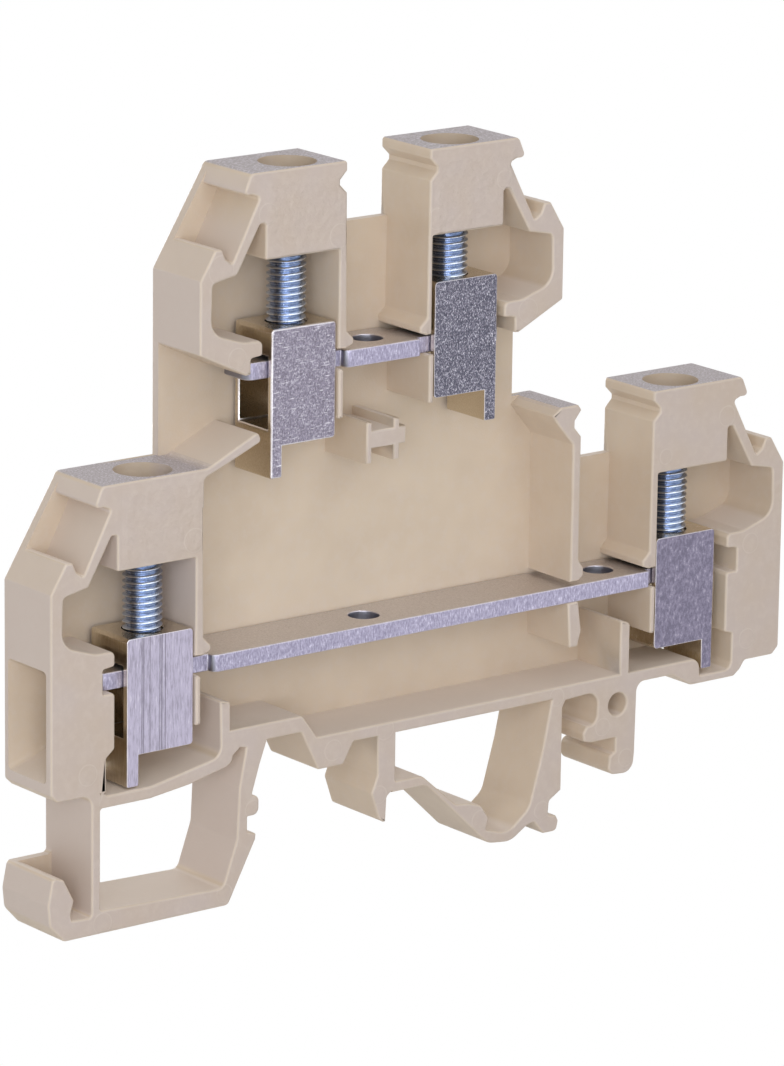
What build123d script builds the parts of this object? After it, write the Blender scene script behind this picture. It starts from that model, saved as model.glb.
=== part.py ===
from build123d import *
import os

# Double level terminal block for a 35 mm mounting rail, in millimetres.
# X runs along the block, Y through its thickness and Z up from the rail.
# The origin is at the middle of the rail, on its upper face, halfway through the block.
# The functions below draw with x = 0 halfway between the lower screws,
# y = 0 on the open front face and z = 0 on the rail, and finished() moves the result.

# Housing
thickness = 6.0
back_wall = 0.8
rib_wall = 0.95
rail_shift = 0.55              # middle of the rail, from the middle of the lower screws
lower_spread = 50.5            # between the two lower screws
upper_spread = 15.2            # between the two upper screws
upper_shift = -4.7             # middle of the upper screws, from the middle of the lower ones
floor_top = 3.95               # floor under the lower cages, above the rail
level_rise = 21.5              # upper heads above the lower ones
between_heads = 0.75           # top of the back wall above the heads' underside

# Heads over the screws
head_height = 6.6
lip_drop = 1.6
slope_run = 4.15               # width of the sloping outer side
slope_rise = 6.7               # height of the sloping outer side
wing_wall = 1.05
upper_left_outer = 6.65         # outer face of each head, from the side of its cage
upper_right_outer = 6.3
lower_outer = 6.9
shelf_inset = 5.7              # tip of the shelf inside the outer face
pocket_inset = 4.65            # seat of the bar's end inside the outer face
leg_wall = 0.75
shelf_wall = 1.25
upper_right_slack = 0.3        # extra room beside the upper right cage
wall_step = 0.75               # wall beside a lower cage's tongue, outside the tip
tongue_steps = {"lower_left": (0.9, 0.25), "lower_right": (0.3, 0.1)}
guide_gap = 4.3                # end of the guide rib before the upper left screw
guide_bend = 0.41              # where the guide rib starts to rise, as a share of its length
window_inset = 0.65            # back wall between the levels, inside the right outer face
well_diameter = 4.4
well_floor = 0.8

# Clamping cages
cage_width = 5.95
cage_depth = 4.6
cage_height = 8.9
cage_side = 0.5
cage_ceiling = 2.1
cage_floor = 1.3
cage_round = 0.3
tongue_thickness = 1.05
tongue_drop = 2.4
cage_gap = 0.1                 # between a cage and the wall beside it
cage_front = 0.2               # front of a cage behind the front face
cage_over_bar = 0.3            # ceiling of a lowered cage above its bar
upper_right_lift = 1.7         # how far this one is already screwed up

# Current bars
bar_drop = 7.75                # top of a bar below the heads' underside
bar_thickness = 1.35
bar_front = 0.1
bar_back_gap = 0.05
neck_width = 3.4
shoulder_rounds = (0.6, 0.15)  # corners of the wide part, at its left and right end
bar_end_round = 0.8            # corners of a bar's ends, seen from above
upper_shoulders = (3.85, 4.35) # start of the wide part, from the left and right screws
lower_shoulders = (4.75, 3.7)
bar_end_play = 0.2             # left end of a bar before its seat
bar_right_reach = 3.9          # right end of a bar beyond its screw
bar_over_play = 0.55           # housing above a bar's end
bridge_hole = 2.4
bridge_inset = 2.75            # bridge holes behind the front face
first_bridge = -4.5            # bridge holes, from the middle of the lower screws
second_bridge = 18.5

# Clamping screws
screw_diameter = 3.0
screw_clearance = 0.1          # on the diameter, in the cage
screw_hole = 3.4
screw_head_diameter = 4.1
screw_head_height = 1.7
screw_chamfer = 0.3
driver_slot_width = 0.8
driver_slot_depth = 0.9

# Foot and rail
rail_width = 35.0
rail_sheet = 1.0
rail_play = 0.15               # slot height over the sheet
rail_reach = 0.35              # depth of slot and notch beyond the rail's edges
foot_depth = 6.6               # lowest point below the rail's upper face
foot_floor = 1.7
foot_leg = 0.8
foot_leg_inset = 5.45          # leg beyond the lower left screw
hook_height = 5.15             # top of the release hook above the foot's underside
test_hole = 1.8

# Wire funnels of the lower level
funnel_height = 8.5
funnel_rise = 0.1              # middle of the mouth above the middle of the throat
funnel_below_bar = 0.1
funnel_front = 0.6
funnel_back = 0.5
throat_height = 3.8
throat_front = 1.5

# Sizes that follow from those above
inner_wall = thickness - back_wall
cage_middle = cage_front + cage_depth / 2
leg_in = cage_width / 2 + cage_gap
leg_out = leg_in + leg_wall
head_inner = leg_out - 0.1
knee = head_height - 0.8 - slope_rise
shelf_low = -bar_drop + bar_over_play
shelf_top = shelf_low + shelf_wall
bar_bottom_drop = bar_drop + bar_thickness
cage_drop = bar_drop - cage_over_bar - cage_ceiling
cage_bottom_drop = cage_drop + cage_height
floor_drop = cage_bottom_drop + tongue_drop + 0.15
lower_level = floor_top + floor_drop
upper_level = lower_level + level_rise
floor_bottom = floor_top - rib_wall
ledge_top = floor_top + 1.15
ledge_bottom = ledge_top - rib_wall
raised_top = ledge_top + 1.9
raised_bottom = raised_top - 1.3
lower_bar_top = lower_level - bar_drop
lower_bar_bottom = lower_level - bar_bottom_drop
roof_top = lower_level + head_height
roof_right = second_bridge - 4.2
rail_left = rail_shift - rail_width / 2
rail_right = rail_shift + rail_width / 2
slot_low = -rail_sheet - rail_play
foot_low = -foot_depth
leg_right = -lower_spread / 2 - foot_leg_inset
leg_left = leg_right - foot_leg

# Each head: side (-1 outer side left, 1 right), screw, level, outer face from the screw, lift
heads = {
    "upper_left": (-1, upper_shift - upper_spread / 2, upper_level,
                   cage_width / 2 + upper_left_outer, 0),
    "upper_right": (1, upper_shift + upper_spread / 2, upper_level,
                    cage_width / 2 + upper_right_outer, upper_right_lift),
    "lower_left": (-1, -lower_spread / 2, lower_level, cage_width / 2 + lower_outer, 0),
    "lower_right": (1, lower_spread / 2, lower_level, cage_width / 2 + lower_outer, 0),
}


def outline(points):
    """Flat face with corners at (across, up) or, where they are round, (across, up, radius)."""
    corners = [point[:2] for point in points]
    radii = [point[2] if len(point) > 2 else 0 for point in points]
    return make_face(FilletPolyline(*corners, radius=radii, close=True))


def rectangle(left, low, right, high):
    return outline([(left, low), (right, low), (right, high), (left, high)])


def round_hole(x, z, diameter):
    return Pos(x, z) * Circle(diameter / 2)


def prism(face, near, far):
    """Solid from a face drawn in x and z, between y = near and y = far."""
    return extrude(Plane.XZ.offset(-near) * face, far - near, dir=(0, 1, 0))


def shifted(points, x, z=0):
    return [(point[0] + x, point[1] + z, *point[2:]) for point in points]


def at_head(name, points):
    """Points drawn as (outwards from the screw, up from the head's underside), in place."""
    side, x, level, reach, lift = heads[name]
    return [(x + side * point[0], level + point[1], *point[2:]) for point in points]


def slope_at(height):
    """How far the outer face leans inwards at a height above the knee."""
    return slope_run * height / slope_rise


def head_profile(name):
    """Walls round one screw and its cage: head, strut, outer wing, shelf and inner leg."""
    reach = heads[name][3]
    tip = reach - shelf_inset
    seat = reach - pocket_inset
    wing_in = reach - wing_wall
    bulge = leg_out + 0.65
    leg_face = leg_in + (upper_right_slack if name == "upper_right" else 0)
    return outline(at_head(name, [
        (-head_inner, head_height, 0.25),
        (-head_inner, head_height - 0.75, 0.15),
        (0.65 - head_inner, head_height - 1.4, 0.1),
        (0.65 - head_inner, head_height - 1.75, 0.1),
        (-head_inner, head_height - 2.4, 0.2),
        (-leg_out, -bar_drop + 1.5, 0.2),
        (-bulge, -bar_drop + 0.9, 0.2),
        (-bulge, -bar_drop + 0.45, 0.2),
        (-leg_out, -bar_drop + 0.2, 0.1),
        (-leg_face, -bar_drop + 0.25),
        (-leg_face, 0, 0.15),
        (tip - 0.2, 0, 0.2),
        (tip - 0.2, 2.75, 0.22),
        (tip + 0.3, 2.75, 0.22),
        (tip + 2.35, -0.8, 0.3),
        (wing_in - 0.1, -1.25, 0.4),
        (wing_in, shelf_top + 1.0, 1.5),
        (tip + 1.7, shelf_top + 0.05, 1.0),
        (tip, shelf_top, 0.45),
        (tip, shelf_low + 0.1, 0.25),
        (seat, shelf_low, 0.2),
        (seat, -bar_bottom_drop + 0.7, 0.1),
        (seat + 0.4, -bar_bottom_drop + 0.65, 0.15),
        (reach, shelf_low + 0.8, 0.25),
        (reach, knee, 0.3),
        (reach - slope_at(2.2), knee + 2.2, 0.25),
        (reach - slope_at(2.2) - 0.6, knee + 2.15, 0.2),
        (reach - slope_at(2.2) - 0.95, knee + 1.4, 0.25),
        (tip + 2.8, 0.1, 0.15),
        (tip + 0.35, head_height - 1.85, 0.25),
        (tip + 1.0, head_height - lip_drop, 0.2),
        (reach - slope_at(head_height - lip_drop - knee) - 0.2, head_height - lip_drop, 0.3),
        (reach - slope_at(head_height - knee) + 0.1, head_height, 0.55),
    ]))


def head_back(name):
    """Back wall behind one head, with the nose and neck that its inner side has."""
    reach = heads[name][3]
    return outline(at_head(name, [
        (-head_inner, head_height, 0.25),
        (-head_inner, head_height - 0.75, 0.15),
        (0.65 - head_inner, head_height - 1.4, 0.1),
        (0.65 - head_inner, head_height - 1.75, 0.1),
        (-head_inner, head_height - 2.4, 0.2),
        (-head_inner, -2.0),
        (reach, -2.0),
        (reach, knee, 0.3),
        (reach - slope_at(head_height - knee), head_height, 0.9),
    ]))


def bar_rib(name):
    """Short rib under a bar, on the inner side of a cage."""
    return outline(at_head(name, [
        (-leg_in - 0.05, -bar_bottom_drop),
        (-leg_in - 0.05, -bar_bottom_drop - 3.75, 0.1),
        (-leg_in - 0.5, -bar_bottom_drop - 3.75, 0.2),
        (-leg_in - 0.5, -bar_bottom_drop, 0.2),
    ]))


def side_block(name, step_top, step_low):
    """Solid wall outside a lower cage, which holds the wire funnel and the bar's end.

    The step beside the cage's tongue runs between two heights above the cage's underside.
    """
    reach = heads[name][3]
    tip = reach - shelf_inset
    seat = reach - pocket_inset
    return outline(at_head(name, [
        (reach - 0.3, shelf_low + 0.9),
        (seat, shelf_low - 0.02),
        (seat, -bar_bottom_drop, 0.1),
        (tip, -bar_bottom_drop, 0.3),
        (tip, step_top - cage_bottom_drop, 0.25),
        (tip + wall_step, step_low - cage_bottom_drop, 0.2),
        (tip + wall_step, 0.2 - floor_drop),
        (reach - 0.6, 0.2 - floor_drop, 0.4),
        (reach, 0.8 - floor_drop, 0.4),
        (reach, shelf_low + 1.2),
    ]))


def left_floor():
    """Floor under the lower left cage, with the upright that ends it."""
    inset = heads["lower_left"][3] - shelf_inset + wall_step
    return outline(shifted([
        (-inset - 0.3, floor_top + 0.5),
        (-inset, floor_top, 0.35),
        (-0.9, floor_top, 6.0),
        (5.45, floor_top + 1.2, 1.0),
        (5.35, ledge_top + 4.3, 0.15),
        (6.3, ledge_top + 4.1, 0.3),
        (6.3, raised_top - 0.5),
        (7.4, raised_bottom - 0.1, 0.3),
        (6.65, ledge_bottom + 0.9, 0.3),
        (6.05, floor_bottom + 1.3, 0.5),
        (2.6, floor_bottom + 0.5, 3.0),
        (-1.0, floor_bottom, 3.0),
        (-inset - 1.0, floor_bottom, 0.2),
    ], -lower_spread / 2))


def right_floor():
    """Floor under the lower right cage, and the nose where the ledge meets it."""
    inset = heads["lower_right"][3] - shelf_inset + wall_step
    return outline(shifted([
        (inset + 0.3, floor_top + 0.9),
        (inset, floor_top + 0.9),
        (inset, floor_top - 0.3, 0.7),
        (1.7, floor_top - 0.3, 0.1),
        (1.65, ledge_top, 0.9),
        (-2.0, ledge_top),
        (-2.0, ledge_bottom),
        (-1.2, ledge_bottom, 0.6),
        (0.8, floor_bottom, 0.6),
        (inset + 0.35, floor_bottom, 0.4),
        (inset + 1.0, floor_bottom + 0.5, 0.3),
        (inset + 1.45, floor_top + 0.2, 0.4),
        (inset + 2.3, floor_top + 0.2),
        (inset + 2.3, floor_top + 0.6),
    ], lower_spread / 2))


def guide_rib():
    """Sloping guide from the lower left head up to the upper left cage, and its foot."""
    start = head_inner - lower_spread / 2
    end = upper_shift - upper_spread / 2 - guide_gap
    bend = start + guide_bend * (end - start)
    return outline([
        (start - 1.2, roof_top, 0.1),
        (start + 0.4, roof_top, 0.9),
        (end, roof_top + 2.1, 0.3),
        (end + 0.4, roof_top + 1.35, 0.35),
        (bend, roof_top, 0.9),
        (start + 0.1, roof_top - 0.75, 0.5),
        (start + 0.1, roof_top - 3.0),
        (start - 1.2, roof_top - 3.0),
    ])


def tall_rib():
    """Upright over the lower bar whose hooked top ends the housing between the levels."""
    return outline(shifted([
        (-0.35, roof_top, 0.25),
        (0.0, roof_top - 0.45, 0.15),
        (-0.65, roof_top - 1.25, 0.1),
        (-0.65, roof_top - 1.8, 0.1),
        (0.0, roof_top - 2.55, 0.2),
        (0.0, lower_bar_top + 2.0, 0.2),
        (0.5, lower_bar_top + 1.3, 0.2),
        (0.5, lower_bar_top + 0.7, 0.2),
        (0.1, lower_bar_top + 0.35, 0.1),
        (-0.8, lower_bar_top + 0.35),
        (-0.8, roof_top - 3.1, 0.4),
        (-2.2, roof_top - 1.5, 0.2),
        (-2.9, roof_top - 0.6, 0.1),
        (-2.0, roof_top, 0.3),
    ], roof_right))


def ledge_parts():
    """Ledge below the lower bar, the raised step at its left end and its uprights."""
    left = -lower_spread / 2
    yield outline([
        *shifted([(5.8, raised_top), (13.0, raised_top, 0.45)], left),
        (left + 14.4, ledge_top, 0.15),
        (left + 18.2, ledge_top),
        (left + 18.2, ledge_bottom),
        (left + 17.85, ledge_bottom, 0.2),
        (left + 16.9, ledge_bottom - 1.65, 0.3),
        (left + 14.5, ledge_bottom - 1.65, 0.25),
        (left + 12.9, raised_bottom, 0.25),
        (left + 9.7, raised_bottom, 0.3),
        (left + 9.3, raised_bottom - 0.5),
        (left + 5.8, raised_bottom),
    ])
    yield rectangle(left + 14.2, ledge_bottom, lower_spread / 2 - 1.0, ledge_top)
    yield outline([
        (rail_right + 0.65, ledge_top - 0.2),
        (rail_right + 1.6, ledge_top - 0.2),
        (rail_right + 1.6, ledge_top + 4.0, 0.35),
        (rail_right + 0.65, ledge_top + 4.35, 0.15),
    ])
    yield outline(shifted([
        (-1.0, lower_bar_bottom),
        (-0.75, lower_bar_bottom - 3.6, 0.15),
        (0.05, lower_bar_bottom - 3.6, 0.25),
        (0.4, lower_bar_bottom - 2.4, 0.5),
        (0.05, lower_bar_bottom, 0.15),
    ], roof_right))


def bracket_parts():
    """Small H-shaped stop between the bars: two uprights and the bar that joins them."""
    low = roof_top - 1.8
    yield rectangle(first_bridge - 2.0, low, first_bridge - 1.5, low + 3.15)
    yield rectangle(first_bridge + 0.55, low, first_bridge + 1.1, low + 3.15)
    yield rectangle(first_bridge - 2.0, low + 1.15, first_bridge + 1.7, low + 2.5)


def left_foot():
    """Foot that hooks over the rail's left edge: leg, floor, strut and release hook."""
    strut = rail_left
    body = outline([
        (leg_left, foot_low + 1.4, 0.3),
        (leg_left - 1.75, foot_low + 1.5, 0.1),
        (leg_left - 1.85, foot_low + 2.0, 0.2),
        (leg_left - 1.55, foot_low + 3.0, 0.3),
        (leg_left - 2.45, foot_low + hook_height - 0.4, 0.3),
        (leg_left - 3.45, foot_low + hook_height, 0.4),
        (leg_left - 3.9, foot_low + 3.0, 1.2),
        (leg_left - 3.75, foot_low + 1.4, 1.0),
        (leg_left - 2.45, foot_low, 0.5),
        (strut - 2.1, foot_low, 0.5),
        (strut + 0.4, -1.9, 0.15),
        (strut + 0.45, slot_low - 0.3, 0.15),
        (strut - rail_reach, slot_low, 0.1),
        (strut - rail_reach, 0, 0.1),
        (strut + 0.7, 0, 0.55),
        (strut + 0.7, 1.4, 0.45),
        (strut + 0.05, 1.6, 0.2),
        (strut + 0.75, ledge_bottom - 0.3, 0.3),
        (strut + 1.4, raised_bottom - 0.1),
        (strut - 0.9, raised_top - 0.5),
        (strut - 1.4, raised_bottom + 0.2),
        (strut - 2.5, ledge_bottom + 0.65),
        (-lower_spread / 2 + 2.6, floor_bottom + 0.75),
        (-lower_spread / 2 - 1.0, floor_bottom + 0.4),
        (leg_right, floor_bottom + 0.4),
        (leg_right, floor_top + 0.6),
        (leg_left - 1.3, floor_top + 0.6),
        (leg_left - 1.3, floor_top + 0.2),
        (leg_left, floor_top + 0.2, 0.9),
    ])
    opening = outline([
        (leg_right, floor_bottom, 0.25),
        (leg_right, foot_low + foot_floor + 0.1, 0.2),
        (strut - 2.6, foot_low + foot_floor - 0.25, 0.7),
        (strut - 1.35, -1.6, 1.5),
        (strut - 1.15, ledge_bottom - 1.8, 1.5),
        (strut - 0.45, raised_bottom + 0.1, 0.45),
        (strut - 1.5, raised_bottom + 0.1, 0.45),
        (strut - 1.85, ledge_bottom + 0.35, 0.3),
        (strut - 2.3, ledge_bottom + 0.05, 0.3),
        (-lower_spread / 2 + 2.6, floor_bottom + 0.45, 3.0),
        (-lower_spread / 2 - 1.0, floor_bottom, 3.0),
    ])
    return body - opening


def hook_web():
    """Thin wall at the back that joins the release hook to the leg."""
    top = foot_low + hook_height - 0.15
    return outline([
        (leg_left - 3.2, foot_low + 1.6),
        (leg_left + 0.3, foot_low + 1.6),
        (leg_left + 0.3, top + 0.6),
        (leg_left, top + 0.6),
        (leg_left, top, 0.35),
        (leg_left - 3.2, top),
    ])


def middle_foot():
    """Post with its tooth, the S-shaped spring arm and the long arm it runs into."""
    post = rail_shift - 3.9
    yield outline(shifted([
        (-1.75, ledge_bottom + 0.4),
        (-1.75, 1.0, 0.4),
        (-2.3, -0.3, 0.4),
        (-1.55, -2.5, 0.3),
        (-0.9, -2.85, 0.12),
        (-0.8, -0.8, 0.4),
        (-0.35, -0.45, 0.2),
        (0.5, -0.45),
        (0.5, 0.25),
        (0.0, 0.3, 0.1),
        (0.0, ledge_bottom + 0.4),
    ], post))
    yield outline(shifted([
        (-4.2, 0.3),
        (-1.35, 0.3, 1.2),
        (2.0, -2.6, 0.5),
        (3.4, -2.75, 1.0),
        (4.55, -3.15, 0.9),
        (5.3, -4.3, 0.6),
        (5.05, -5.2, 0.15),
        (7.15, -5.85, 1.8),
        (9.25, -4.2, 1.6),
        (10.45, 0.0, 3.0),
        (11.35, ledge_bottom, 0.2),
        (11.35, ledge_bottom + 0.4),
        (12.45, ledge_bottom + 0.4),
        (12.45, -3.3, 0.2),
        (11.3, -4.0, 0.4),
        (11.2, -5.1, 0.25),
        (12.0, -5.3, 0.2),
        (12.25, -5.75, 0.35),
        (12.05, foot_low + 0.05, 0.4),
        (10.7, foot_low + 0.05, 0.4),
        (9.8, -5.45, 0.2),
        (9.1, -5.6, 0.3),
        (7.5, foot_low, 1.8),
        (5.2, foot_low + 0.25, 1.8),
        (-0.9, -0.55, 1.2),
        (-4.2, -0.55),
    ], rail_shift))


def right_foot():
    """Fixed jaw that hooks under the rail's right edge, with the test hole above it."""
    jaw = rail_right
    gap = rail_shift + 12.45
    plate = outline(shifted([
        (-2.6, 1.4, 0.3),
        (-2.95, 0.85, 0.3),
        (-2.85, 0.2, 0.3),
        (-2.1, 0, 0.3),
        (rail_reach, 0, 0.1),
        (rail_reach, slot_low, 0.1),
        (-0.2, slot_low - 0.25, 0.4),
        (-0.35, -2.95, 0.7),
        (2.2, -3.15, 1.0),
        (2.35, -1.5, 0.8),
        (2.45, ledge_bottom, 0.8),
        (3.9, ledge_bottom),
        (3.9, ledge_bottom + 0.4),
        (-5.6, ledge_bottom + 0.4),
        (-5.6, ledge_bottom - 0.3),
        (-1.45, ledge_bottom - 0.1, 1.0),
        (-1.6, ledge_bottom - 2.7, 0.8),
    ], jaw))
    corner = outline([
        (gap - 0.3, ledge_bottom + 0.4),
        (gap - 0.3, ledge_bottom - 0.8),
        (gap, ledge_bottom - 0.8),
        (gap + 0.35, ledge_bottom - 0.15, 0.4),
        (gap + 1.4, ledge_bottom - 0.15),
        (gap + 1.4, ledge_bottom + 0.4),
    ])
    return plate + corner


def wells():
    """Driver wells and screw holes through the four heads."""
    cuts = []
    for side, x, level, reach, lift in heads.values():
        well = Cylinder(well_diameter / 2, head_height, align=(Align.CENTER, Align.CENTER, Align.MIN))
        hole = Cylinder(screw_hole / 2, head_height + 2, align=(Align.CENTER, Align.CENTER, Align.MIN))
        cuts.append(Pos(x, cage_middle, level + well_floor) * well)
        cuts.append(Pos(x, cage_middle, level - 1) * hole)
    return cuts


def funnels():
    """Tapered wire entries through the end faces of the lower level."""
    cuts = []
    for name in ("lower_left", "lower_right"):
        side, x, level, reach, lift = heads[name]
        throat_middle = level - bar_bottom_drop - funnel_below_bar - throat_height / 2
        mouth_middle = throat_middle + funnel_rise
        mouth_width = thickness - funnel_front - funnel_back
        throat_width = cage_front + cage_depth - cage_side - throat_front
        throat_y = throat_front + throat_width / 2
        mouth_y = funnel_front + mouth_width / 2
        outer, inner = x + side * (reach + 0.01), x + side * (reach - shelf_inset + 0.9)
        mouth = Plane((outer, mouth_y, mouth_middle), x_dir=(0, 1, 0), z_dir=(side, 0, 0))
        throat = Plane((inner, throat_y, throat_middle), x_dir=(0, 1, 0), z_dir=(side, 0, 0))
        cuts.append(loft([mouth * RectangleRounded(mouth_width, funnel_height, 0.4),
                          throat * RectangleRounded(throat_width, throat_height, 0.3)]))
        run = Plane((inner, throat_y, throat_middle), x_dir=(0, 1, 0), z_dir=(-side, 0, 0))
        cuts.append(extrude(run * RectangleRounded(throat_width, throat_height, 0.3), 1.5))
    return cuts


def housing():
    walls = [head_profile(name) for name in heads]
    walls += [bar_rib(name) for name in heads]
    walls += [side_block(name, *steps) for name, steps in tongue_steps.items()]
    walls += [left_floor(), right_floor(), guide_rib(), tall_rib()]
    walls += [*ledge_parts(), *bracket_parts()]
    foot = [left_foot(), *middle_foot(), right_foot()]

    left, right = heads["lower_left"], heads["lower_right"]
    upper_left, upper_right = heads["upper_left"], heads["upper_right"]
    back = [hook_web(), *[head_back(name) for name in heads]]
    back.append(rectangle(upper_left[1] - upper_left[3], lower_level,
                          upper_right[1] + upper_right[3] - window_inset, upper_level - 1.0))
    back.append(rectangle(upper_left[1], upper_level - 2.0,
                          upper_right[1], upper_level + between_heads))
    back.append(rectangle(left[1], lower_level, roof_right - 0.5, roof_top))
    back.append(rectangle(left[1], lower_level - 2.0,
                          right[1], lower_level + between_heads))
    back.append(rectangle(left[1] - left[3], ledge_bottom + 1.5,
                          right[1] + right[3], lower_level + knee - 0.3))
    back.append(rectangle(left[1] - left[3] + 4.0, ledge_bottom + 0.5,
                          right[1] + right[3] - 4.0, ledge_top + 1.5))
    open_part = Sketch() + [*walls, *foot]
    closed_part = Sketch() + [*back, *walls, *foot]
    body = prism(open_part, 0, inner_wall) + prism(closed_part, inner_wall, thickness)
    body -= prism(round_hole(rail_right + 0.5, ledge_bottom - 1.45, test_hole), -1, thickness + 1)
    for cut in [*wells(), *funnels()]:
        body -= cut
    return body


def bar(left_name, right_name, shoulders, bridges):
    """Flat bar between two screws: wide middle, necks through the cages, rounded ends."""
    side, left_x, level, reach, lift = heads[left_name]
    right_x = heads[right_name][1]
    left_end = left_x - reach + pocket_inset + bar_end_play
    right_end = right_x + bar_right_reach
    front, back = bar_front, inner_wall - bar_back_gap
    neck_front, neck_back = cage_middle - neck_width / 2, cage_middle + neck_width / 2
    wide_left, wide_right = left_x + shoulders[0], right_x - shoulders[1]
    left_round, right_round = shoulder_rounds
    sweep = [
        (left_end, neck_front, bar_end_round),
        (wide_left, neck_front), (wide_left, front, left_round),
        (wide_right, front, right_round), (wide_right, neck_front),
        (right_end, neck_front, bar_end_round),
        (right_end, neck_back, bar_end_round),
        (wide_right, neck_back), (wide_right, back, right_round),
        (wide_left, back, left_round), (wide_left, neck_back),
        (left_end, neck_back, bar_end_round),
    ]
    flat = outline(sweep)
    flat -= [Pos(x, bridge_inset) * Circle(bridge_hole / 2) for x in bridges]
    return extrude(Pos(0, 0, level - bar_bottom_drop) * flat, bar_thickness)


def cage(name):
    """Clamping cage: threaded ceiling, floor, two sides and the tongue below one side."""
    side, x, level, reach, lift = heads[name]
    half = cage_width / 2
    top = level - cage_drop + lift
    low = top - cage_height
    outer = half * side
    profile = outline([
        (x - outer, top, cage_round),
        (x + outer, top, cage_round),
        (x + outer, low - tongue_drop, 0.15),
        (x + outer - side * tongue_thickness, low - tongue_drop, 0.15),
        (x + outer - side * tongue_thickness, low),
        (x - outer, low, cage_round),
    ])
    body = prism(profile, cage_front, cage_front + cage_depth)
    body -= prism(rectangle(x - half - 1, low + cage_floor, x + half + 1, top - cage_ceiling),
                  cage_front + cage_side, cage_front + cage_depth - cage_side)
    hole = Cylinder((screw_diameter + screw_clearance) / 2, cage_ceiling + 2,
                    align=(Align.CENTER, Align.CENTER, Align.MIN))
    return body - Pos(x, cage_middle, top - cage_ceiling - 1) * hole


def screw(name):
    """Clamping screw: slotted head on the floor of its well, point on the bar."""
    side, x, level, reach, lift = heads[name]
    upwards = (Align.CENTER, Align.CENTER, Align.MIN)
    seat = level + well_floor
    point = level - bar_drop
    shank = Cylinder(screw_diameter / 2, seat - point, align=upwards)
    shank = chamfer(shank.faces().sort_by(Axis.Z)[0].edges(), screw_chamfer)
    head = Cylinder(screw_head_diameter / 2, screw_head_height, align=upwards)
    head = fillet(head.faces().sort_by(Axis.Z)[-1].edges(), 0.3)
    slot = Box(screw_head_diameter + 1, driver_slot_width, driver_slot_depth + 1, align=upwards)
    head -= Pos(0, 0, screw_head_height - driver_slot_depth) * slot
    return Pos(x, cage_middle, point) * shank + Pos(x, cage_middle, seat) * head


def finished(shape):
    """Moves a finished piece from the drawing's origin to the part's own."""
    return Pos(-rail_shift, -thickness / 2, 0) * shape


pieces = {
    "housing": housing(),
    "upper_bar": bar("upper_left", "upper_right", upper_shoulders, [first_bridge]),
    "lower_bar": bar("lower_left", "lower_right", lower_shoulders, [first_bridge, second_bridge]),
}
for head_name in heads:
    pieces["clamp_" + head_name] = cage(head_name)
    pieces["screw_" + head_name] = screw(head_name)

os.makedirs("parts", exist_ok=True)
for piece_name, piece in pieces.items():
    export_step(finished(piece), f"parts/{piece_name}.step")
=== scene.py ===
import math
import bmesh
import bpy
from mathutils import Matrix, Vector


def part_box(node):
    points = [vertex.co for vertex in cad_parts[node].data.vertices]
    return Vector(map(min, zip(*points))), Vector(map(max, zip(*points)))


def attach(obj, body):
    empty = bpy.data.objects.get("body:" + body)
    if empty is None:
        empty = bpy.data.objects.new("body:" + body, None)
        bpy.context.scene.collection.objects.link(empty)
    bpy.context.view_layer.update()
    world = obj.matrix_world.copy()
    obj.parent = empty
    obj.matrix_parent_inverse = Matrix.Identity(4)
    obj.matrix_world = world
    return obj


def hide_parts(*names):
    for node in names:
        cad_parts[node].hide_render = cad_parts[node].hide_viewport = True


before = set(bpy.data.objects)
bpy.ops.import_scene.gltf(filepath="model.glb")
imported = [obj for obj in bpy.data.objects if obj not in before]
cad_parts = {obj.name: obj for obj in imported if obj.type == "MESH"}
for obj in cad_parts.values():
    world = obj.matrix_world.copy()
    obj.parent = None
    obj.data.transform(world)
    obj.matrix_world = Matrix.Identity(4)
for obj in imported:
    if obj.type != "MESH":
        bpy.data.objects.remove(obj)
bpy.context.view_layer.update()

print("frame loaded,", len(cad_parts), "nodes")

# Shader helpers


def makeGroup(name, inputs, outputs):
    group = bpy.data.node_groups.new(name, "ShaderNodeTree")
    for label, kind, value in inputs:
        socket = group.interface.new_socket(label, in_out="INPUT", socket_type=kind)
        socket.default_value = value
    for label in outputs:
        group.interface.new_socket(label, in_out="OUTPUT", socket_type="NodeSocketFloat")
    return group, group.nodes.new("NodeGroupInput"), group.nodes.new("NodeGroupOutput")


def setSocket(tree, socket, source):
    if hasattr(source, "is_output"):
        tree.links.new(source, socket)
    else:
        socket.default_value = source


def addNode(tree, kind, sockets=(), **settings):
    node = tree.nodes.new(kind)
    for key, value in settings.items():
        setattr(node, key, value)
    for place, source in sockets:
        setSocket(tree, node.inputs[place], source)
    return node


def mathNode(tree, operation, first, second=0.0, clamp=False):
    node = addNode(tree, "ShaderNodeMath", [(0, first), (1, second)], operation=operation, use_clamp=clamp)
    return node.outputs[0]


def spread(tree, source, low, high, toLow=0.0, toHigh=1.0):
    node = addNode(tree, "ShaderNodeMapRange", [
        ("Value", source), ("From Min", low), ("From Max", high), ("To Min", toLow), ("To Max", toHigh)])
    return node.outputs["Result"]


def mixColour(tree, amount, first, second):
    node = addNode(tree, "ShaderNodeMix", data_type="RGBA")
    for place, source in ((0, amount), (6, first), (7, second)):
        setSocket(tree, node.inputs[place], source)
    return node.outputs[2]


def useGroup(tree, group, **values):
    node = addNode(tree, "ShaderNodeGroup", node_tree=group)
    for key, value in values.items():
        node.inputs[key].default_value = value
    return node


def newMaterial(name, **fixed):
    material = bpy.data.materials.new(name)
    material.use_nodes = True
    tree = material.node_tree
    shader = tree.nodes["Principled BSDF"]
    for key, value in fixed.items():
        shader.inputs[key.replace("_", " ")].default_value = value
    return material, tree, shader


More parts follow.
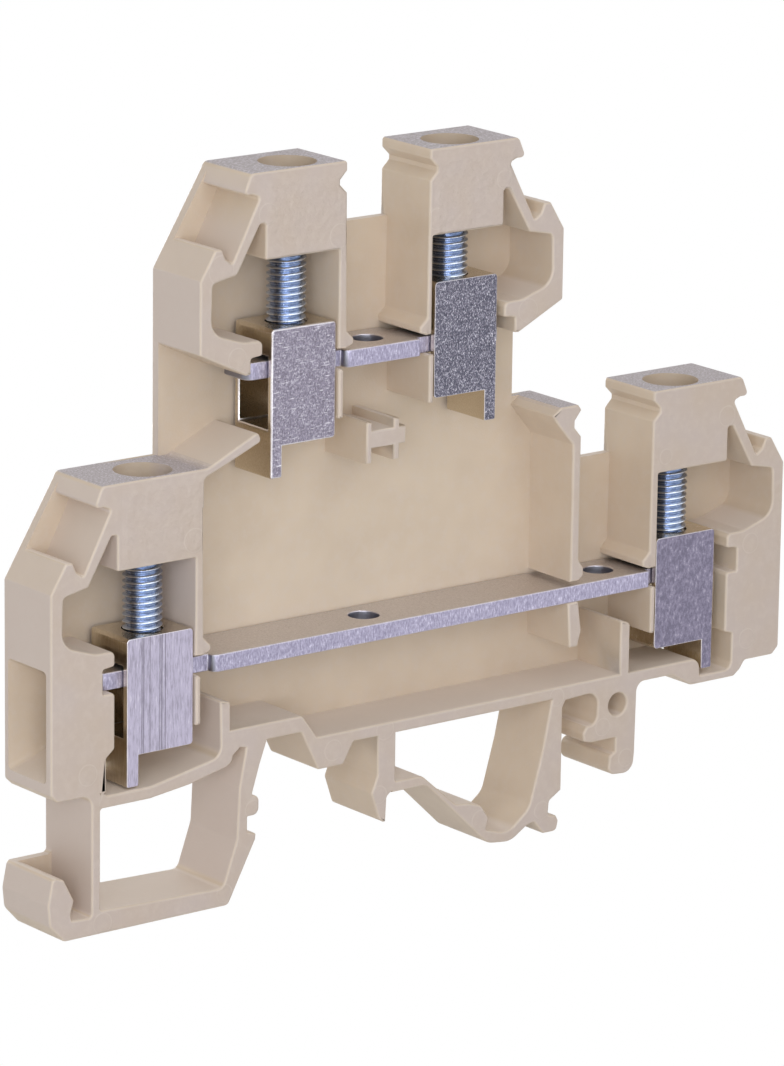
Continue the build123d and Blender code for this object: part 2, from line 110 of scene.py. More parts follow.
# Fine and coarse grain, with the size of its specks in millimetres
def grainGroup():
    group, inside, outside = makeGroup("surfaceGrain", [
        ("Size", "NodeSocketFloat", 0.2), ("Stretch", "NodeSocketVector", (1, 1, 1)),
        ("Softness", "NodeSocketFloat", 0.5)], ["Fine", "Coarse", "Wide"])
    place = addNode(group, "ShaderNodeTexCoord").outputs["Object"]
    scaled = addNode(group, "ShaderNodeVectorMath", [(0, place), (1, inside.outputs["Stretch"])],
                     operation="MULTIPLY").outputs[0]
    size = mathNode(group, "DIVIDE", 1000.0, inside.outputs["Size"])
    for label, share, detail in (("Fine", 1.0, 3.0), ("Coarse", 0.25, 3.0), ("Wide", 0.03, 2.0)):
        noise = addNode(group, "ShaderNodeTexNoise", [
            ("Vector", scaled), ("Scale", mathNode(group, "MULTIPLY", size, share)), ("Detail", detail),
            ("Roughness", inside.outputs["Softness"])])
        group.links.new(noise.outputs["Fac"], outside.inputs[label])
    return group


# How many noise cells a metre holds in the patches of wear and in the scratches
patchScale = 900.0


# Painted highlights on the strips that round a piece's edges, broken up by patches
def edgeGroup():
    group, inside, outside = makeGroup("paintedEdgeLight", [
        ("Reach", "NodeSocketFloat", 0.5), ("Gaps", "NodeSocketFloat", 0.5)], ["Mask"])
    edge = addNode(group, "ShaderNodeAttribute", attribute_name="roundedEdge").outputs["Fac"]
    place = addNode(group, "ShaderNodeTexCoord").outputs["Object"]
    patches = addNode(group, "ShaderNodeTexNoise", [
        ("Vector", place), ("Scale", patchScale), ("Detail", 3.0)])
    broken = mathNode(group, "MULTIPLY", patches.outputs["Fac"], inside.outputs["Gaps"])
    kept = mathNode(group, "SUBTRACT", edge, broken, clamp=True)
    group.links.new(mathNode(group, "MULTIPLY", kept, inside.outputs["Reach"], clamp=True),
                    outside.inputs["Mask"])
    return group


# Directions in degrees, and the range of noise in which a scratch shows
scratchValues = {
    "directions": (35, -50, 80, -15), "apart": 0.1, "stretch": (0.9, 0, 9.0), "shown": (0.68, 0.78),
}


# Thin straight scratches in a few directions in the plane of x and z
def scratchGroup(values):
    group, inside, outside = makeGroup("scratches", [("Amount", "NodeSocketFloat", 0.5)], ["Mask"])
    place = addNode(group, "ShaderNodeTexCoord").outputs["Object"]
    found = 0.0
    for number, degrees in enumerate(values["directions"]):
        turned = addNode(group, "ShaderNodeMapping", [
            ("Vector", place), ("Location", (number * values["apart"], 0, 0)),
            ("Rotation", (0, math.radians(degrees), 0)), ("Scale", values["stretch"])])
        noise = addNode(group, "ShaderNodeTexNoise", [
            ("Vector", turned.outputs["Vector"]), ("Scale", patchScale), ("Detail", 1.0)])
        found = mathNode(group, "MAXIMUM", found, spread(group, noise.outputs["Fac"], *values["shown"]))
    group.links.new(mathNode(group, "MULTIPLY", found, inside.outputs["Amount"]), outside.inputs["Mask"])
    return group


surfaceGrain = grainGroup()
paintedEdgeLight = edgeGroup()
scratches = scratchGroup(scratchValues)

# Round marks that ejector pins leave on the front faces, as (x, z, radius) in the frame, in mm
pinValues = {
    "rim": 0.07, "front": -3.0,
    "marks": [
        (-20.6, 42.0, 1.1), (-19.1, 35.2, 0.8), (-9.8, 43.3, 0.9), (-16.4, 45.7, 0.8), (-0.7, 43.5, 0.8),
        (8.2, 35.4, 0.9), (5.7, 45.8, 0.7), (-22.9, 22.1, 0.9), (-32.4, 5.8, 0.8), (28.5, 24.4, 0.8),
        (22.3, 22.0, 0.6), (31.3, 13.7, 0.8), (31.2, 5.9, 0.8), (-17.4, 0.5, 0.7), (-31.1, -5.8, 0.8),
        (-20.0, -5.6, 0.7), (-9.9, 3.8, 0.8), (-5.5, -0.5, 0.7), (4.4, -4.3, 0.8), (16.5, 1.1, 0.7),
        (18.9, -1.8, 0.7), (10.5, -4.6, 0.7), (11.8, 4.3, 0.7), (-5.0, 4.6, 0.8),
    ],
}


def pinGroup(values):
    group, inside, outside = makeGroup("pinMarks", [("Rim", "NodeSocketFloat", values["rim"] / 1000)],
                                       ["Disc", "Rim"])
    place = addNode(group, "ShaderNodeTexCoord")
    beyond = 1.0
    for x, z, radius in values["marks"]:
        gap = addNode(group, "ShaderNodeVectorMath", [
            (0, place.outputs["Object"]), (1, (x / 1000, values["front"] / 1000, z / 1000))],
            operation="DISTANCE")
        beyond = mathNode(group, "MINIMUM", beyond,
                          mathNode(group, "SUBTRACT", gap.outputs["Value"], radius / 1000))
    share = mathNode(group, "DIVIDE", beyond, inside.outputs["Rim"])
    group.links.new(spread(group, share, -1.0, 1.0, 1.0, 0.0), outside.inputs["Disc"])
    group.links.new(mathNode(group, "SUBTRACT", 1.0, mathNode(group, "ABSOLUTE", share), clamp=True),
                    outside.inputs["Rim"])
    return group


# Fronts of the heads that are eroded to a coarser texture, as (x from, x to, z from, z to) in mm
panelValues = {
    "soft": 0.5, "panels": [(-16.6, -8.2, 41.2, 48.2), (-1.0, 6.9, 41.2, 48.2), (-29.4, -22.0, 21.0, 26.8)],
}


def panelGroup(values):
    soft = ("Soft", "NodeSocketFloat", values["soft"] / 1000)
    group, inside, outside = makeGroup("texturedPanels", [soft], ["Mask"])
    coordinates = addNode(group, "ShaderNodeTexCoord")
    place = addNode(group, "ShaderNodeSeparateXYZ", [(0, coordinates.outputs["Object"])])
    covered = 0.0
    for panel in values["panels"]:
        left, right, low, high = (edge / 1000 for edge in panel)
        depth = 1.0
        for axis, first, last in (("X", left, right), ("Z", low, high)):
            middle, half = (first + last) / 2, (last - first) / 2
            away = mathNode(group, "ABSOLUTE", mathNode(group, "SUBTRACT", place.outputs[axis], middle))
            depth = mathNode(group, "MINIMUM", depth, mathNode(group, "SUBTRACT", half, away))
        within = mathNode(group, "DIVIDE", depth, inside.outputs["Soft"], clamp=True)
        covered = mathNode(group, "MAXIMUM", covered, within)
    group.links.new(covered, outside.inputs["Mask"])
    return group


# Moulded plastic: planes, widths and bump heights in mm, and patches as noise from and to, share from and to
plasticLook = {
    "frontColour": (0.590, 0.507, 0.470, 1),
    "innerPaintedBounce": (0.700, 0.588, 0.468, 1),
    "warmColour": (0.590, 0.478, 0.370, 1),
    "paleColour": (0.690, 0.610, 0.550, 1),
    "topPaintedShade": (0.350, 0.325, 0.370, 1),
    "topPaintedGlint": (0.620, 0.590, 0.700, 1),
    "upwardPaintedLight": (0.840, 0.760, 0.720, 1),
    "leftEndPaintedLight": (0.665, 0.575, 0.525, 1),
    "warmPatches": (0.35, 0.68, 0.0, 0.45),
    "palePatches": (0.45, 0.75, 0.0, 0.35),
    "topGlintRange": (0.48, 0.60),
    "upwardLightShare": 0.6,
    "topPaintedMix": 0.8,
    "rimHighlightShare": 0.5,
    "endsBefore": -17.5,
    "endFade": 1.0,
    "topPlanes": (27.35, 48.85),
    "topWithin": 0.2,
    "plainFoot": (-22.4, -20.6, 0.0),
    "plainBelow": 28.35,
    "frontPlane": -3.0,
    "frontFade": (0.4, 0.1),
    "grainSize": 0.16,
    "grainHeight": 0.04,
    "grainDepth": 0.30,
    "topGrainDepth": 0.9,
    "panelGrain": 0.55,
    "panelHeight": 0.12,
    "markHeight": 0.04,
    "roughness": (0.3, 0.7, 0.42, 0.60),
}


# The head tops, painted darker and violet with painted glints for the light and reflection from above, which
# leave out a plain stretch of the lower plane
def headTops(tree, look, upward, position):
    nearest = 1.0
    for plane in look["topPlanes"]:
        away = mathNode(tree, "SUBTRACT", position.outputs["Z"], plane / 1000)
        nearest = mathNode(tree, "MINIMUM", nearest, mathNode(tree, "ABSOLUTE", away))
    onTop = mathNode(tree, "LESS_THAN", nearest, look["topWithin"] / 1000)
    glitterEnd, plainStart, plainEnd = (edge / 1000 for edge in look["plainFoot"])
    left = spread(tree, position.outputs["X"], glitterEnd, plainStart, 1.0, 0.0)
    beside = mathNode(tree, "MAXIMUM", left, mathNode(tree, "GREATER_THAN", position.outputs["X"], plainEnd))
    raised = mathNode(tree, "GREATER_THAN", position.outputs["Z"], look["plainBelow"] / 1000)
    return mathNode(tree, "MULTIPLY", mathNode(tree, "MULTIPLY", upward, onTop),
                    mathNode(tree, "MAXIMUM", beside, raised))


def plasticMaterial(look, pins, panels):
    material, tree, shader = newMaterial("beigePolyamide", IOR=1.5)
    grain = useGroup(tree, surfaceGrain, Size=look["grainSize"], Softness=0.6)
    place = addNode(tree, "ShaderNodeTexCoord")
    normal = addNode(tree, "ShaderNodeSeparateXYZ", [(0, place.outputs["Normal"])])
    position = addNode(tree, "ShaderNodeSeparateXYZ", [(0, place.outputs["Object"])])
    upward = spread(tree, normal.outputs["Z"], 0.8, 0.95)
    forward = spread(tree, normal.outputs["Y"], -0.8, -0.97)
    frontFade = [(look["frontPlane"] + behind) / 1000 for behind in look["frontFade"]]
    front = mathNode(tree, "MULTIPLY", forward, spread(tree, position.outputs["Y"], *frontFade))
    # Every face but the outer front faces takes a brighter, warmer colour: painted light bounced into the
    # recesses
    tint = mixColour(tree, front, look["innerPaintedBounce"], look["frontColour"])
    warm = spread(tree, grain.outputs["Wide"], *look["warmPatches"])
    tint = mixColour(tree, warm, tint, look["warmColour"])
    pale = spread(tree, grain.outputs["Coarse"], *look["palePatches"])
    tint = mixColour(tree, pale, tint, look["paleColour"])
    # Faces turned upward are painted lighter: painted light from above
    tint = mixColour(tree, mathNode(tree, "MULTIPLY", upward, look["upwardLightShare"]), tint, look["upwardPaintedLight"])
    # Faces turned to the left at the left end take a cooler grey-beige: painted light from a cool lamp on the
    # left
    endFade = [look["endsBefore"] / 1000, (look["endsBefore"] - look["endFade"]) / 1000]
    ends = mathNode(tree, "MULTIPLY", spread(tree, normal.outputs["X"], -0.75, -0.95),
                    spread(tree, position.outputs["X"], *endFade))
    tint = mixColour(tree, ends, tint, look["leftEndPaintedLight"])
    # The head tops take painted shade with painted glints
    top = headTops(tree, look, upward, position)
    specks = spread(tree, grain.outputs["Fine"], *look["topGlintRange"])
    paintedTop = mixColour(tree, specks, look["topPaintedShade"], look["topPaintedGlint"])
    tint = mixColour(tree, mathNode(tree, "MULTIPLY", top, look["topPaintedMix"]), tint, paintedTop)
    # Pale rounded edges: a painted highlight
    edgeLight = useGroup(tree, paintedEdgeLight, Reach=0.5, Gaps=0.8)
    tint = mixColour(tree, edgeLight.outputs["Mask"], tint, look["paleColour"])
    marks = useGroup(tree, pinGroup(pins))
    disc = mathNode(tree, "MULTIPLY", marks.outputs["Disc"], forward)
    rim = mathNode(tree, "MULTIPLY", marks.outputs["Rim"], forward)
    # A paler ring round each pin mark: a painted highlight on its raised rim
    tint = mixColour(tree, mathNode(tree, "MULTIPLY", rim, look["rimHighlightShare"]), tint, look["paleColour"])
    tree.links.new(tint, shader.inputs["Base Color"])
    tree.links.new(spread(tree, grain.outputs["Coarse"], *look["roughness"]), shader.inputs["Roughness"])
    # Relief: the grain, then the coarser panels, then the ejector pins' marks
    depth = spread(tree, top, 0.0, 1.0, look["grainDepth"], look["topGrainDepth"])
    rough = mathNode(tree, "MULTIPLY", grain.outputs["Fine"], depth)
    fine = addNode(tree, "ShaderNodeBump", [
        ("Strength", 1.0), ("Distance", look["grainHeight"] / 1000), ("Height", rough)])
    panel = mathNode(tree, "MULTIPLY", useGroup(tree, panelGroup(panels)).outputs["Mask"], forward)
    pits = useGroup(tree, surfaceGrain, Size=look["panelGrain"], Softness=0.45)
    eroded = addNode(tree, "ShaderNodeBump", [
        ("Strength", 1.0), ("Distance", look["panelHeight"] / 1000), ("Normal", fine.outputs["Normal"]),
        ("Height", mathNode(tree, "MULTIPLY", panel, pits.outputs["Fine"]))])
    marked = addNode(tree, "ShaderNodeBump", [
        ("Strength", 0.6), ("Distance", look["markHeight"] / 1000), ("Height", disc),
        ("Normal", eroded.outputs["Normal"])])
    tree.links.new(marked.outputs["Normal"], shader.inputs["Normal"])
    return material


# What the plated metals share: noise as from and to, share from and to, and the bump's height in mm
metalValues = {
    "darkPatches": (0.4, 0.7, 0.0, 0.25), "roughSpecks": (0.3, 0.7, 0.75, 1.3), "lineShare": 0.8,
    "bumpHeight": 0.06,
}


# Plated metal: grain specks with painted glints on the outer faces at the front and back, smoother sides,
# painted highlights on the edges
# The lines are dark marks along z, as (place along x, width) in the frame, in mm
def metalMaterial(name, look, values=metalValues):
    material, tree, shader = newMaterial(name, Metallic=1.0)
    grain = useGroup(tree, surfaceGrain, Size=look["grainSize"], Stretch=look["stretch"], Softness=0.7)
    place = addNode(tree, "ShaderNodeTexCoord")
    normal = addNode(tree, "ShaderNodeSeparateXYZ", [(0, place.outputs["Normal"])])
    position = addNode(tree, "ShaderNodeSeparateXYZ", [(0, place.outputs["Object"])])
    front, back = (plane / 1000 for plane in look["outerFaces"])
    outer = mathNode(tree, "MAXIMUM", mathNode(tree, "LESS_THAN", position.outputs["Y"], front),
                     mathNode(tree, "GREATER_THAN", position.outputs["Y"], back))
    flat = mathNode(tree, "MULTIPLY", outer,
                    spread(tree, mathNode(tree, "ABSOLUTE", normal.outputs["Y"]), 0.7, 0.95))
    fine = grain.outputs["Fine"]
    tint = mixColour(tree, spread(tree, fine, *look["darkRange"]), look["darkColour"], look["colour"])
    # Bright specks in the grain: painted glints of the plating
    tint = mixColour(tree, spread(tree, fine, *look["glintRange"]), tint, look["glintAndScratchColour"])
    patches = spread(tree, grain.outputs["Coarse"], *values["darkPatches"])
    tint = mixColour(tree, patches, tint, look["darkColour"])
    if look.get("scratches"):
        scratched = useGroup(tree, scratches, Amount=look["scratches"])
        tint = mixColour(tree, scratched.outputs["Mask"], tint, look["glintAndScratchColour"])
    if look.get("lines"):
        marked = 0.0
        for across, width in look["lines"]:
            gap = mathNode(tree, "ABSOLUTE", mathNode(tree, "SUBTRACT", position.outputs["X"], across / 1000))
            marked = mathNode(tree, "MAXIMUM", marked, spread(tree, gap, 0.0, width / 1000, 1.0, 0.0))
        drawn = mathNode(tree, "MULTIPLY", marked, values["lineShare"])
        tint = mixColour(tree, drawn, tint, look["lineColour"])
    # The other faces: on the cages and bars this colour is a painted reflection of what surrounds them; on
    # the screws it is the zinc's blue, with lighter mottling
    side = mixColour(tree, spread(tree, fine, 0.3, 0.7), look["sideColourAndReflection"], look["sideBrightAndReflection"])
    # Upright side walls, such as the holes' walls in the bars, get a dark colour: painted shade
    if look.get("wallPaintedShade"):
        lying = spread(tree, mathNode(tree, "ABSOLUTE", normal.outputs["Z"]), 0.3, 0.7)
        side = mixColour(tree, lying, look["wallPaintedShade"], side)
    tint = mixColour(tree, flat, side, tint)
    # Bright rounded edges: a painted highlight
    edgeLight = useGroup(tree, paintedEdgeLight, Reach=0.95, Gaps=look["edgeGaps"])
    tint = mixColour(tree, edgeLight.outputs["Mask"], tint, look["edgeHighlightColour"])
    tree.links.new(tint, shader.inputs["Base Color"])
    sideRoughness, flatRoughness = look["roughness"]
    even = spread(tree, flat, 0.0, 1.0, sideRoughness, flatRoughness)
    tree.links.new(mathNode(tree, "MULTIPLY", even, spread(tree, fine, *values["roughSpecks"])),
                   shader.inputs["Roughness"])
    height = mathNode(tree, "MULTIPLY", fine, spread(tree, flat, 0.0, 1.0, look["sideGrain"], 1.0))
    bump = addNode(tree, "ShaderNodeBump", [
        ("Strength", look["grainDepth"]), ("Distance", values["bumpHeight"] / 1000), ("Height", height)])
    tree.links.new(bump.outputs["Normal"], shader.inputs["Normal"])
    return material


# In metres: how close points are one in a node and in a thread, and how close to a plane they are on it
meshValues = {"doubles": 0.000004, "threadDoubles": 0.000002, "onPlane": 0.00001}


# A merged copy of a node's mesh, with its flat parts joined into single faces if wanted
def copyNode(nodeName, joined=True):
    shape = bmesh.new()
    shape.from_mesh(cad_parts[nodeName].data)
    bmesh.ops.remove_doubles(shape, verts=shape.verts, dist=meshValues["doubles"])
    if joined:
        bmesh.ops.dissolve_limit(shape, angle_limit=math.radians(0.5), verts=shape.verts, edges=shape.edges)
    return shape


def newPiece(name, shape):
    mesh = bpy.data.meshes.new(name)
    shape.to_mesh(mesh)
    shape.free()
    piece = bpy.data.objects.new(name, mesh)
    bpy.context.scene.collection.objects.link(piece)
    return piece


# The faces that take the painted edge highlight
def edgeLayer(shape):
    return shape.faces.layers.float.get("roundedEdge") or shape.faces.layers.float.new("roundedEdge")


# Rounds the edges of the flat face that lies at one end of a moulding, outward along y
def roundRim(shape, height, outward, width, segments):
    rounded = edgeLayer(shape)
    cap = [face for face in shape.faces if face.normal.y * outward > 0.999
           and abs(face.calc_center_median().y - height) < meshValues["onPlane"]]
    for corner in {corner for face in cap for corner in face.verts}:
        corner.co.y -= outward * width
    inset, raised = 0.0, 0.0
    for step in range(1, segments + 1):
        angle = step / segments * math.pi / 2
        nextInset, nextRaised = width * (1 - math.cos(angle)), width * math.sin(angle)
        ring = bmesh.ops.inset_region(shape, faces=cap, use_boundary=True, use_even_offset=True,
                                      thickness=nextInset - inset, depth=nextRaised - raised)
        for face in ring["faces"]:
            face[rounded] = 1.0
        inset, raised = nextInset, nextRaised
    for face in cap:
        face.smooth = False


# Rounds every sharp edge, and keeps large flat faces flat in their shading
def roundSharpEdges(shape, width, segments, flatArea=1.2, sharp=28):
    rounded = edgeLayer(shape)
    edges = [edge for edge in shape.edges
             if len(edge.link_faces) == 2 and edge.calc_face_angle() > math.radians(sharp)]
    for face in shape.faces:
        face.smooth = face.calc_area() < flatArea / 1000000
    made = bmesh.ops.bevel(shape, geom=edges, offset=width / 1000, offset_type="OFFSET", segments=segments,
                           profile=0.5, affect="EDGES", clamp_overlap=True, material=-1)
    for face in made["faces"]:
        face.smooth = True
        face[rounded] = 1.0


def finishPiece(piece, nodeName, bodyName, material):
    piece.data.materials.append(material)
    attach(piece, bodyName)
    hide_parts(nodeName)


def sideWords(place):
    return "".join(word.title() for word in place.split("_"))


housingValues = {"frontRound": 0.18, "backRound": 0.12, "segments": 3, "sharp": 30}


def mouldedHousing(values):
    low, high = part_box("housing")
    shape = copyNode("housing", joined=False)
    for face in shape.faces:
        face.smooth = True
    for edge in shape.edges:
        onRim = any(all(abs(end.co.y - plane) < meshValues["onPlane"] for end in edge.verts)
                    for plane in (low[1], high[1]))
        edge.smooth = onRim or edge.calc_face_angle(0) < math.radians(values["sharp"])
    roundRim(shape, low[1], -1, values["frontRound"] / 1000, values["segments"])
    roundRim(shape, high[1], 1, values["backRound"] / 1000, values["segments"])
    piece = newPiece("mouldedHousing", shape)
    normals = piece.modifiers.new("evenShading", "WEIGHTED_NORMAL")
    normals.mode = "FACE_AREA"
    normals.weight = 80
    normals.keep_sharp = True
    finishPiece(piece, "housing", "block", plasticMaterial(plasticLook, pinValues, panelValues))
    print("housing made,", len(piece.data.polygons), "faces")


mouldedHousing(housingValues)

# Current bars
barValues = {"edgeRound": 0.14, "segments": 3}
barLook = {
    "colour": (0.50, 0.47, 0.62, 1), "darkColour": (0.32, 0.30, 0.42, 1),
    "glintAndScratchColour": (0.80, 0.78, 0.92, 1), "edgeHighlightColour": (0.72, 0.69, 0.76, 1),
    "sideColourAndReflection": (0.54, 0.51, 0.51, 1), "sideBrightAndReflection": (0.78, 0.75, 0.75, 1),
    "wallPaintedShade": (0.25, 0.25, 0.29, 1),
    "grainSize": 0.12, "stretch": (1, 1, 0.3), "grainDepth": 0.6, "sideGrain": 0.6, "roughness": (0.36, 0.42),
    "darkRange": (0.38, 0.56), "glintRange": (0.56, 0.70), "edgeGaps": 1.3, "outerFaces": (-2.0, 2.0),
    "scratches": 0.3,
}
tinned = metalMaterial("tinnedBar", barLook)
for nodeName in ("upper_bar", "lower_bar"):
    shape = copyNode(nodeName)
    roundSharpEdges(shape, barValues["edgeRound"], barValues["segments"])
    finishPiece(newPiece(nodeName.replace("_b", "B"), shape), nodeName, "block", tinned)
print("bars made")

# Clamping cages, each with its own finish on the front
cageValues = {"edgeRound": 0.15, "segments": 3}
cageLook = {
    "sideColourAndReflection": (0.62, 0.54, 0.41, 1), "sideBrightAndReflection": (0.78, 0.70, 0.57, 1),
    "edgeHighlightColour": (0.88, 0.86, 0.90, 1), "lineColour": (0.10, 0.09, 0.11, 1),
    "sideGrain": 0.25, "edgeGaps": 0.5, "outerFaces": (-2.6, 1.6),
}
cageFinishes = {
    "upper_left": {
        "colour": (0.38, 0.35, 0.44, 1), "darkColour": (0.20, 0.18, 0.23, 1),
        "glintAndScratchColour": (0.92, 0.90, 0.97, 1),
        "grainSize": 0.12, "stretch": (1, 1, 0.7), "grainDepth": 0.9, "roughness": (0.20, 0.40),
        "darkRange": (0.36, 0.56), "glintRange": (0.57, 0.72), "scratches": 1.0},
    "upper_right": {
        "colour": (0.25, 0.24, 0.31, 1), "darkColour": (0.08, 0.08, 0.11, 1),
        "glintAndScratchColour": (0.94, 0.92, 1.0, 1),
        "grainSize": 0.075, "stretch": (1, 1, 0.5), "grainDepth": 0.9, "roughness": (0.20, 0.45),
        "darkRange": (0.38, 0.58), "glintRange": (0.55, 0.68), "scratches": 0.3},
    "lower_left": {
        "colour": (0.57, 0.53, 0.67, 1), "darkColour": (0.40, 0.37, 0.47, 1),
        "glintAndScratchColour": (0.84, 0.81, 0.90, 1),
        "grainSize": 0.12, "stretch": (1, 1, 0.12), "grainDepth": 0.5, "roughness": (0.18, 0.38),
        "darkRange": (0.36, 0.52), "glintRange": (0.60, 0.74),
        "lines": [(-27.44, 0.06), (-27.29, 0.06), (-26.72, 0.05), (-25.83, 0.06), (-25.65, 0.08),
                  (-25.34, 0.06)]},
    "lower_right": {
        "colour": (0.29, 0.265, 0.36, 1), "darkColour": (0.19, 0.175, 0.245, 1),
        "glintAndScratchColour": (0.52, 0.49, 0.60, 1),
        "grainSize": 0.24, "stretch": (1, 1, 0.6), "grainDepth": 0.6, "roughness": (0.22, 0.42),
        "darkRange": (0.40, 0.56), "glintRange": (0.58, 0.72), "scratches": 0.2},
}
for place, finish in cageFinishes.items():
    shape = copyNode("clamp_" + place)
    roundSharpEdges(shape, cageValues["edgeRound"], cageValues["segments"])
    finishPiece(newPiece("cage" + sideWords(place), shape), "clamp_" + place, "clamp_" + place,
                metalMaterial("platedCage" + sideWords(place), {**cageLook, **finish}))
print("cages made")

# Threaded screws: sizes in mm, with tipShare of the root's radius left at the tip
screwValues = {
    "pitch": 0.5, "crest": 1.5, "root": 1.2, "crestEase": 0.02, "headHeight": 1.7, "overlap": 0.2,
    "tipHeight": 0.6, "tipShare": 0.92, "steps": 40,
}
screwLook = {
    "colour": (0.28, 0.34, 0.49, 1), "darkColour": (0.18, 0.22, 0.34, 1),
    "glintAndScratchColour": (0.66, 0.72, 0.88, 1), "edgeHighlightColour": (0.92, 0.95, 1.0, 1),
    "sideColourAndReflection": (0.24, 0.30, 0.44, 1), "sideBrightAndReflection": (0.50, 0.58, 0.74, 1),
    "grainSize": 0.10, "stretch": (1, 1, 1), "grainDepth": 0.3, "sideGrain": 1.0, "roughness": (0.12, 0.12),
    "darkRange": (0.36, 0.60), "glintRange": (0.60, 0.72), "edgeGaps": 0.6, "outerFaces": (-9.0, 9.0),
}
blueZinc = metalMaterial("blueZinc", screwLook)


# The head of the frame's screw on a shank spun from the thread's profile
def threadedScrew(place, values):
    nodeName = "screw_" + place
    low, high = (Vector(corner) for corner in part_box(nodeName))
    centre = (low + high) / 2
    seat = high.z - values["headHeight"] / 1000
    shape = copyNode(nodeName)
    everything = shape.verts[:] + shape.edges[:] + shape.faces[:]
    cutHeight = seat - values["overlap"] / 1000
    bmesh.ops.bisect_plane(shape, geom=everything, plane_co=(0, 0, cutHeight), plane_no=(0, 0, 1),
                           clear_inner=True)
    pitch, crest, root, ease = (values[key] / 1000 for key in ("pitch", "crest", "root", "crestEase"))
    start = low.z - pitch
    # The thread's profile, as (radius, share of the pitch)
    profile = [(root, 0), (crest - ease, 0.40), (crest, 0.46), (crest - ease, 0.56), (root, 0.94), (root, 1)]
    corners = [shape.verts.new((centre.x + radius, centre.y, start + share * pitch))
               for radius, share in profile]
    lines = [shape.edges.new(pair) for pair in zip(corners, corners[1:])]
    turns = math.ceil((seat - start) / pitch) + 1
    bmesh.ops.spin(shape, geom=corners + lines, cent=(centre.x, centre.y, 0), axis=(0, 0, 1),
                   dvec=(0, 0, pitch / values["steps"]), angle=turns * math.tau,
                   steps=turns * values["steps"])
    bmesh.ops.remove_doubles(shape, verts=shape.verts, dist=meshValues["threadDoubles"])
    everything = shape.verts[:] + shape.edges[:] + shape.faces[:]
    cut = bmesh.ops.bisect_plane(shape, geom=everything, plane_co=low, plane_no=(0, 0, 1), clear_inner=True)
    rim = [part for part in cut["geom_cut"] if isinstance(part, bmesh.types.BMEdge)]
    bmesh.ops.holes_fill(shape, edges=rim)
    for corner in shape.verts:
        sideways = Vector((corner.co.x - centre.x, corner.co.y - centre.y))
        allowed = root * values["tipShare"] + (corner.co.z - low.z)
        if sideways.length > allowed and corner.co.z < low.z + values["tipHeight"] / 1000:
            corner.co.x, corner.co.y = centre.xy + sideways * allowed / sideways.length
    rounded = edgeLayer(shape)
    for face in shape.faces:
        face.smooth = face.calc_area() < 1.2 / 1000000
        middle = face.calc_center_median()
        outward = math.hypot(middle.x - centre.x, middle.y - centre.y)
        # The faces at the thread's crest take the painted edge highlight
        if middle.z < seat and abs(outward - crest) < 2 * ease:
            face[rounded] = 1.0
    for edge in shape.edges:
        edge.smooth = edge.calc_face_angle(0) < math.radians(50)
    finishPiece(newPiece("screw" + sideWords(place), shape), nodeName, nodeName, blueZinc)


for place in cageFinishes:
    threadedScrew(place, screwValues)
print("screws made")

# Floor, light and camera
stageValues = {"floorHeight": -7.1, "floorSize": 3000, "floorColour": (0.8, 0.8, 0.8, 1), "roomLight": 0.42,
               "roomColour": (1.0, 0.93, 0.80, 1)}


def seenDirectly(tree):
    rays = addNode(tree, "ShaderNodeLightPath")
    seen = mathNode(tree, "MAXIMUM", rays.outputs["Is Camera Ray"], rays.outputs["Is Glossy Ray"])
    return mathNode(tree, "MAXIMUM", seen, rays.outputs["Is Transmission Ray"])


def paleFloor(values):
    shape = bmesh.new()
    bmesh.ops.create_grid(shape, x_segments=1, y_segments=1, size=values["floorSize"] / 2000)
    bmesh.ops.translate(shape, verts=shape.verts, vec=(0, 0, values["floorHeight"] / 1000))
    mesh = bpy.data.meshes.new("paleFloor")
    shape.to_mesh(mesh)
    shape.free()
    floor = bpy.data.objects.new("paleFloor", mesh)
    bpy.context.scene.collection.objects.link(floor)
    material, tree, shader = newMaterial("paleFloor", Base_Color=values["floorColour"], Roughness=0.9)
    white = addNode(tree, "ShaderNodeEmission", [("Color", (1, 1, 1, 1)), ("Strength", 1.0)])
    mixed = addNode(tree, "ShaderNodeMixShader", [(0, seenDirectly(tree)), (1, shader.outputs[0]),
                                                   (2, white.outputs[0])])
    tree.links.new(mixed.outputs[0], tree.nodes["Material Output"].inputs["Surface"])
    mesh.materials.append(material)


def softRoom(values):
    world = bpy.data.worlds.new("softRoom")
    bpy.context.scene.world = world
    world.use_nodes = True
    tree = world.node_tree
    background = tree.nodes["Background"]
    seen = seenDirectly(tree)
    tree.links.new(mixColour(tree, seen, values["roomColour"], (1, 1, 1, 1)), background.inputs["Color"])
    tree.links.new(spread(tree, seen, 0.0, 1.0, values["roomLight"], 1.0), background.inputs["Strength"])


# Each soft box's place, width and height in metres, its power in watts and its colour
# All are turned to one point
lightAim = (0, 0, 0.021)
softBoxes = {
    "leftSoftBox": ((-0.25, -0.285, 0.09), (0.25, 0.25), 0.63, (0.95, 0.98, 1.04)),
    "frontSoftBox": ((-0.02, -0.42, 0.42), (0.40, 0.40), 0.55, (0.95, 0.98, 1.04)),
    "rightSoftBox": ((0.42, -0.50, 0.20), (0.40, 0.50), 0.15, (0.97, 0.98, 1.0)),
    "topSoftBox": ((0.0, 0.0, 0.60), (0.5, 0.5), 0.26, (0.85, 0.88, 1.0)),
    "backSoftBox": ((0.05, 0.50, 0.04), (0.30, 0.08), 1.00, (1.0, 0.98, 0.96)),
}


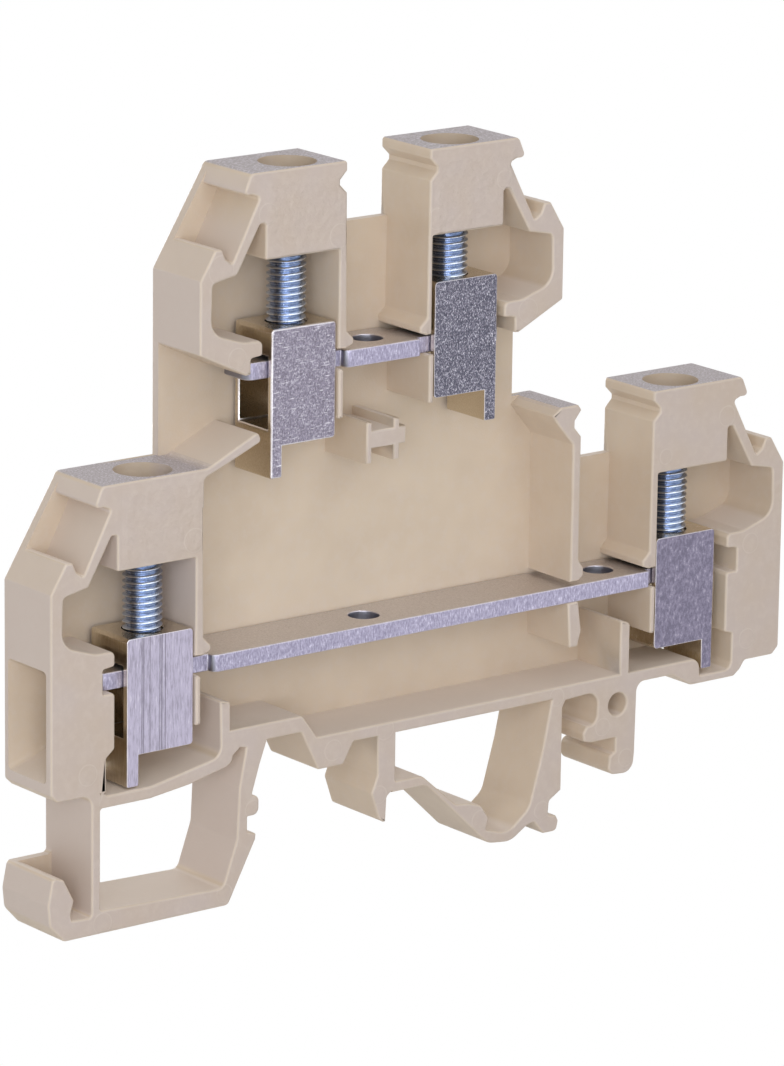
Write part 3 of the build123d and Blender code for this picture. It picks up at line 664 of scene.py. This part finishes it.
def softBox(name, place, size, power, colour):
    light = bpy.data.lights.new(name, "AREA")
    light.shape = "RECTANGLE"
    light.size, light.size_y = size
    light.energy = power
    light.color = colour
    holder = bpy.data.objects.new(name, light)
    bpy.context.scene.collection.objects.link(holder)
    holder.location = place
    holder.rotation_mode = "QUATERNION"
    holder.rotation_quaternion = (Vector(lightAim) - Vector(place)).to_track_quat("-Z", "Y")


paleFloor(stageValues)
softRoom(stageValues)
for name, values in softBoxes.items():
    softBox(name, *values)

# The camera's angles in degrees, and in metres the point that shows at originPixel and the distance to it
cameraValues = {
    "azimuth": -37.95961071, "elevation": 14.65918807, "roll": 0.76292592, "focalPixels": 6026.95,
    "longSide": 1066, "centre": (392.0, 533.0), "originPixel": (430.0, 600.0), "distance": 0.4562,
    "originPlace": (-0.00085, -0.003, 0.0141), "sensorWidth": 36.0,
}


def photoCamera(values):
    azimuth, elevation, roll = (math.radians(values[key]) for key in ("azimuth", "elevation", "roll"))
    back = Vector((math.sin(azimuth) * math.cos(elevation), -math.cos(azimuth) * math.cos(elevation),
                   math.sin(elevation)))
    level = (-back).cross(Vector((0, 0, 1))).normalized()
    upright = level.cross(-back)
    right = math.cos(roll) * level + math.sin(roll) * upright
    up = math.cos(roll) * upright - math.sin(roll) * level
    camera = bpy.data.objects.new("photoCamera", bpy.data.cameras.new("photoCamera"))
    bpy.context.scene.collection.objects.link(camera)
    bpy.context.scene.camera = camera
    across, down = ((values["originPixel"][side] - values["centre"][side]) / values["focalPixels"]
                    for side in (0, 1))
    camera.location = (Vector(values["originPlace"])
                       + values["distance"] * (back - right * across + up * down))
    camera.rotation_mode = "QUATERNION"
    camera.rotation_quaternion = Matrix((right, up, back)).transposed().to_quaternion()
    camera.data.sensor_fit = "AUTO"
    camera.data.sensor_width = values["sensorWidth"]
    camera.data.lens = values["focalPixels"] / values["longSide"] * values["sensorWidth"]
    camera.data.clip_start, camera.data.clip_end = 0.01, 10


photoCamera(cameraValues)
bpy.context.scene.view_settings.view_transform = "Standard"
print("stage and camera made")
